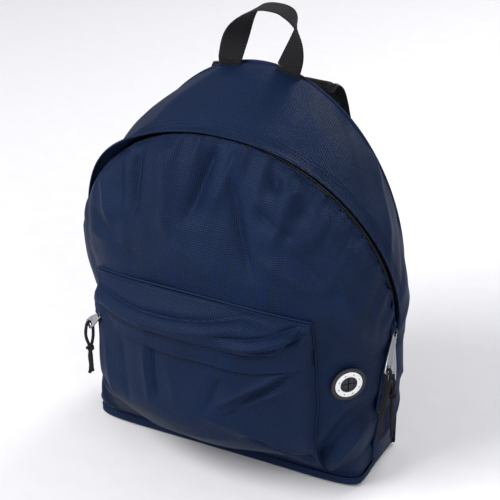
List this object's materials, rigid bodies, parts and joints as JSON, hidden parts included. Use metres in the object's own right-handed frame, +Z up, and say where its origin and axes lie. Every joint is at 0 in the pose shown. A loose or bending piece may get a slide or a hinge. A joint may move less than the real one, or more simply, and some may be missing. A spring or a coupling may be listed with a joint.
{
  "type": "backpack",
  "caption": "School backpack in navy fabric with a domed front, an arched main zip, a zipped front pocket, a webbing carry handle and padded shoulder straps.",
  "frame": {"origin": "middle of the base's underside between its front edge and the back panel's width", "axes": "+Z up, the front pocket faces -Y, +X to the right seen from the front"},
  "size_m": [0.3439, 0.224, 0.4548],
  "materials": {
    "navy_fabric": "navy coated polyester weave, soft sheen",
    "black_webbing": "ribbed black webbing and cord",
    "zip_black": "black zip coil and tape",
    "pull_metal": "nickel-coloured zip parts",
    "foam": "grey padding foam",
    "port_rubber": "matte black rubber",
    "port_ring": "light satin ring",
    "black_plastic": "moulded black plastic"
  },
  "bodies": {
    "bag": {"base_panel": "navy_fabric", "back_panel": "navy_fabric", "back_foam_pad": "foam", "back_lining": "navy_fabric", "gusset_band": "navy_fabric", "side_panel_right": "navy_fabric", "side_panel_left": "navy_fabric", "rain_flap": "navy_fabric", "front_panel_lower": "navy_fabric", "front_panel_fold": "navy_fabric", "main_zip_tape_rear": "zip_black", "main_zip_chain_rear": "zip_black", "zip_slider_b": "pull_metal", "pocket_body": "navy_fabric", "pocket_top_strip": "navy_fabric", "pocket_zip_tape_lower": "zip_black", "pocket_zip_tape_upper": "zip_black", "pocket_zip_chain_lower": "zip_black", "pocket_zip_chain_upper": "zip_black", "cable_port_grommet": "port_rubber", "cable_port_ring": "port_ring", "cable_port_washer": "port_rubber", "strap_anchor_right": "black_webbing", "side_tab_right": "navy_fabric", "strap_anchor_left": "black_webbing", "side_tab_left": "navy_fabric", "strap_yoke": "black_webbing"},
    "front": {"front_panel_upper": "navy_fabric", "main_zip_tape_front": "zip_black", "main_zip_chain_front": "zip_black"},
    "slider_a": {"zip_slider_a": "pull_metal"},
    "tab_a": {"pull_tab_a": "pull_metal"},
    "cord_a": {"pull_cord_a": "black_webbing"},
    "tab_b": {"pull_tab_b": "pull_metal"},
    "cord_b": {"pull_cord_b": "black_webbing"},
    "pocket_zip_slider": {"pocket_slider": "pull_metal"},
    "pocket_tab": {"pocket_pull_tab": "pull_metal"},
    "pocket_cord": {"pocket_pull_cord": "black_webbing"},
    "flap": {"pocket_flap": "navy_fabric"},
    "handle": {"carry_handle": "black_webbing"},
    "strap_right": {"strap_pad_right": "black_webbing", "adjuster_webbing_right": "black_webbing"},
    "lock_right": {"ladder_lock_right": "black_plastic"},
    "strap_left": {"strap_pad_left": "black_webbing", "adjuster_webbing_left": "black_webbing"},
    "lock_left": {"ladder_lock_left": "black_plastic"}
  },
  "joints": [
    {"name": "front_panel_open", "type": "hinge", "parent": "bag", "child": "front", "pos_m": [0, -0.00372, 0.14728], "axis": [1, 0, 0], "range_deg": [0, 30], "deforming": ["front_panel_fold"]},
    {"name": "slider_a_travel", "type": "hinge", "parent": "bag", "child": "slider_a", "pos_m": [0.005, -0.017, 0.199], "axis": [0, -0.9686, -0.2487], "range_deg": [0, 202]},
    {"name": "pull_tab_a_lift", "type": "hinge", "parent": "slider_a", "child": "tab_a", "pos_m": [0.16817, -0.00882, 0.16713], "axis": [0.1639, -0.7437, 0.6481], "range_deg": [0, 90]},
    {"name": "pull_cord_a_swing", "type": "hinge", "parent": "tab_a", "child": "cord_a", "pos_m": [0.17262, -0.03404, 0.13706], "axis": [0.9987, 0.0501, 0], "range_deg": [-18, 12]},
    {"name": "pull_tab_b_lift", "type": "hinge", "parent": "bag", "child": "tab_b", "pos_m": [0.1646, -0.00524, 0.15321], "axis": [0.1245, -0.9751, 0.1836], "range_deg": [0, 85]},
    {"name": "pull_cord_b_swing", "type": "hinge", "parent": "tab_b", "child": "cord_b", "pos_m": [0.16807, -0.01209, 0.11446], "axis": [0.9973, 0.0735, 0], "range_deg": [-18, 18]},
    {"name": "pocket_slider_travel", "type": "hinge", "parent": "bag", "child": "pocket_zip_slider", "pos_m": [0, 0.1, 0.163], "axis": [0, 0, 1], "range_deg": [0, 54]},
    {"name": "pocket_tab_lift", "type": "hinge", "parent": "pocket_zip_slider", "child": "pocket_tab", "pos_m": [-0.10497, -0.10425, 0.163], "axis": [-0.6289, 0.3232, 0.7071], "range_deg": [0, 90]},
    {"name": "pocket_cord_swing", "type": "hinge", "parent": "pocket_tab", "child": "pocket_cord", "pos_m": [-0.12244, -0.09735, 0.14431], "axis": [-0.4571, -0.8894, 0], "range_deg": [-18, 6]},
    {"name": "pocket_flap_lift", "type": "hinge", "parent": "bag", "child": "flap", "pos_m": [0, -0.108, 0.196], "axis": [-1, 0, 0], "range_deg": [0, 40]},
    {"name": "handle_swing", "type": "hinge", "parent": "bag", "child": "handle", "pos_m": [0, 0.037, 0.394], "axis": [1, 0, 0], "range_deg": [-55, 55]},
    {"name": "strap_swing_right", "type": "hinge", "parent": "bag", "child": "strap_right", "pos_m": [0.041, 0.05, 0.3635], "axis": [-0.2758, 0.0056, 0.9612], "range_deg": [-12, 12]},
    {"name": "ladder_lock_tilt_right", "type": "hinge", "parent": "strap_right", "child": "lock_right", "pos_m": [0.101, 0.0672, 0.0905], "axis": [-1, 0, 0], "range_deg": [0, 12]},
    {"name": "strap_swing_left", "type": "hinge", "parent": "bag", "child": "strap_left", "pos_m": [-0.041, 0.05, 0.3635], "axis": [-0.2758, -0.0056, -0.9612], "range_deg": [-12, 12]},
    {"name": "ladder_lock_tilt_left", "type": "hinge", "parent": "strap_left", "child": "lock_left", "pos_m": [-0.101, 0.0672, 0.0905], "axis": [-1, 0, 0], "range_deg": [0, 12]}
  ],
  "couplings": [
    {"joint": "slider_a_travel", "follows": "front_panel_open", "ratio": 6.7}
  ]
}
